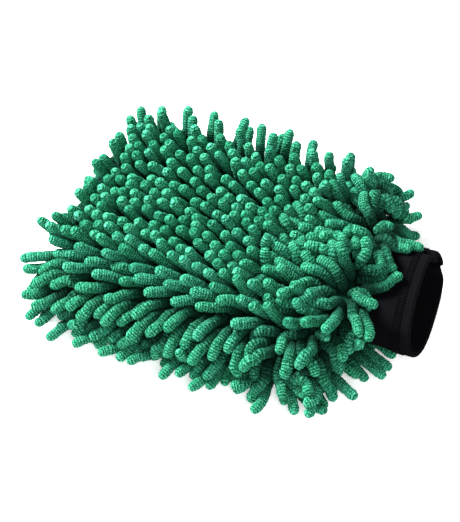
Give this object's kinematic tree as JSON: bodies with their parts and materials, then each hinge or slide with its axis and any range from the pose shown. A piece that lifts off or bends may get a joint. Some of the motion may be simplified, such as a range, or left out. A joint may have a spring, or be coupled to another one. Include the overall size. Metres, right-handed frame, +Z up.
{
  "type": "wash mitt",
  "caption": "Soft wash mitt: a sewn fabric bag covered with long green chenille fingers, with a hand pocket inside and a black knitted elastic cuff.",
  "frame": {"origin": "bottom centre of the bounding box: the point on the surface that the mitt lies on, below its middle", "axes": "+X along the mitt from its closed end to the cuff's mouth, +Y across it, +Z up from the surface that it lies on"},
  "size_m": [0.275, 0.2002, 0.0685],
  "materials": {
    "chenille": "matt tufted microfibre chenille, fluffy rings",
    "backing": "matt fine knit",
    "lining": "matt thin knit",
    "green_thread": "matt spun polyester",
    "cuff_knit": "matt rib knit with a slight sheen",
    "elastic": "woven elastic",
    "black_thread": "matt spun polyester"
  },
  "bodies": {
    "root": {"top_backing": "backing", "bottom_backing": "backing", "top_lining": "lining", "bottom_lining": "lining", "side_seam_allowance": "backing", "side_seam_thread": "green_thread", "cuff_joint_allowance": "backing", "cuff_joint_thread": "green_thread", "cuff": "cuff_knit", "cuff_elastic": "elastic", "cuff_side_seam": "cuff_knit", "hem_stitches": "black_thread", "top_finger_row_01": "chenille", "top_finger_row_02": "chenille", "top_finger_row_03": "chenille", "top_finger_row_04": "chenille", "top_finger_row_05": "chenille", "top_finger_row_06": "chenille", "top_finger_row_07": "chenille", "top_finger_row_08": "chenille", "top_finger_row_09": "chenille", "top_finger_row_10": "chenille", "top_finger_row_11": "chenille", "top_finger_row_12": "chenille", "top_finger_row_13": "chenille", "top_finger_row_14": "chenille", "top_finger_row_15": "chenille", "top_finger_row_16": "chenille", "top_finger_row_17": "chenille", "top_finger_row_18": "chenille", "top_finger_row_19": "chenille", "top_finger_row_20": "chenille", "top_finger_row_21": "chenille", "top_finger_row_22": "chenille", "bottom_finger_row_01": "chenille", "bottom_finger_row_02": "chenille", "bottom_finger_row_03": "chenille", "bottom_finger_row_04": "chenille", "bottom_finger_row_05": "chenille", "bottom_finger_row_06": "chenille", "bottom_finger_row_07": "chenille", "bottom_finger_row_08": "chenille", "bottom_finger_row_09": "chenille", "bottom_finger_row_10": "chenille", "bottom_finger_row_11": "chenille", "bottom_finger_row_12": "chenille", "bottom_finger_row_13": "chenille", "bottom_finger_row_14": "chenille", "bottom_finger_row_15": "chenille", "bottom_finger_row_16": "chenille", "bottom_finger_row_17": "chenille", "bottom_finger_row_18": "chenille", "bottom_finger_row_19": "chenille", "bottom_finger_row_20": "chenille", "bottom_finger_row_21": "chenille"}
  },
  "joints": []
}
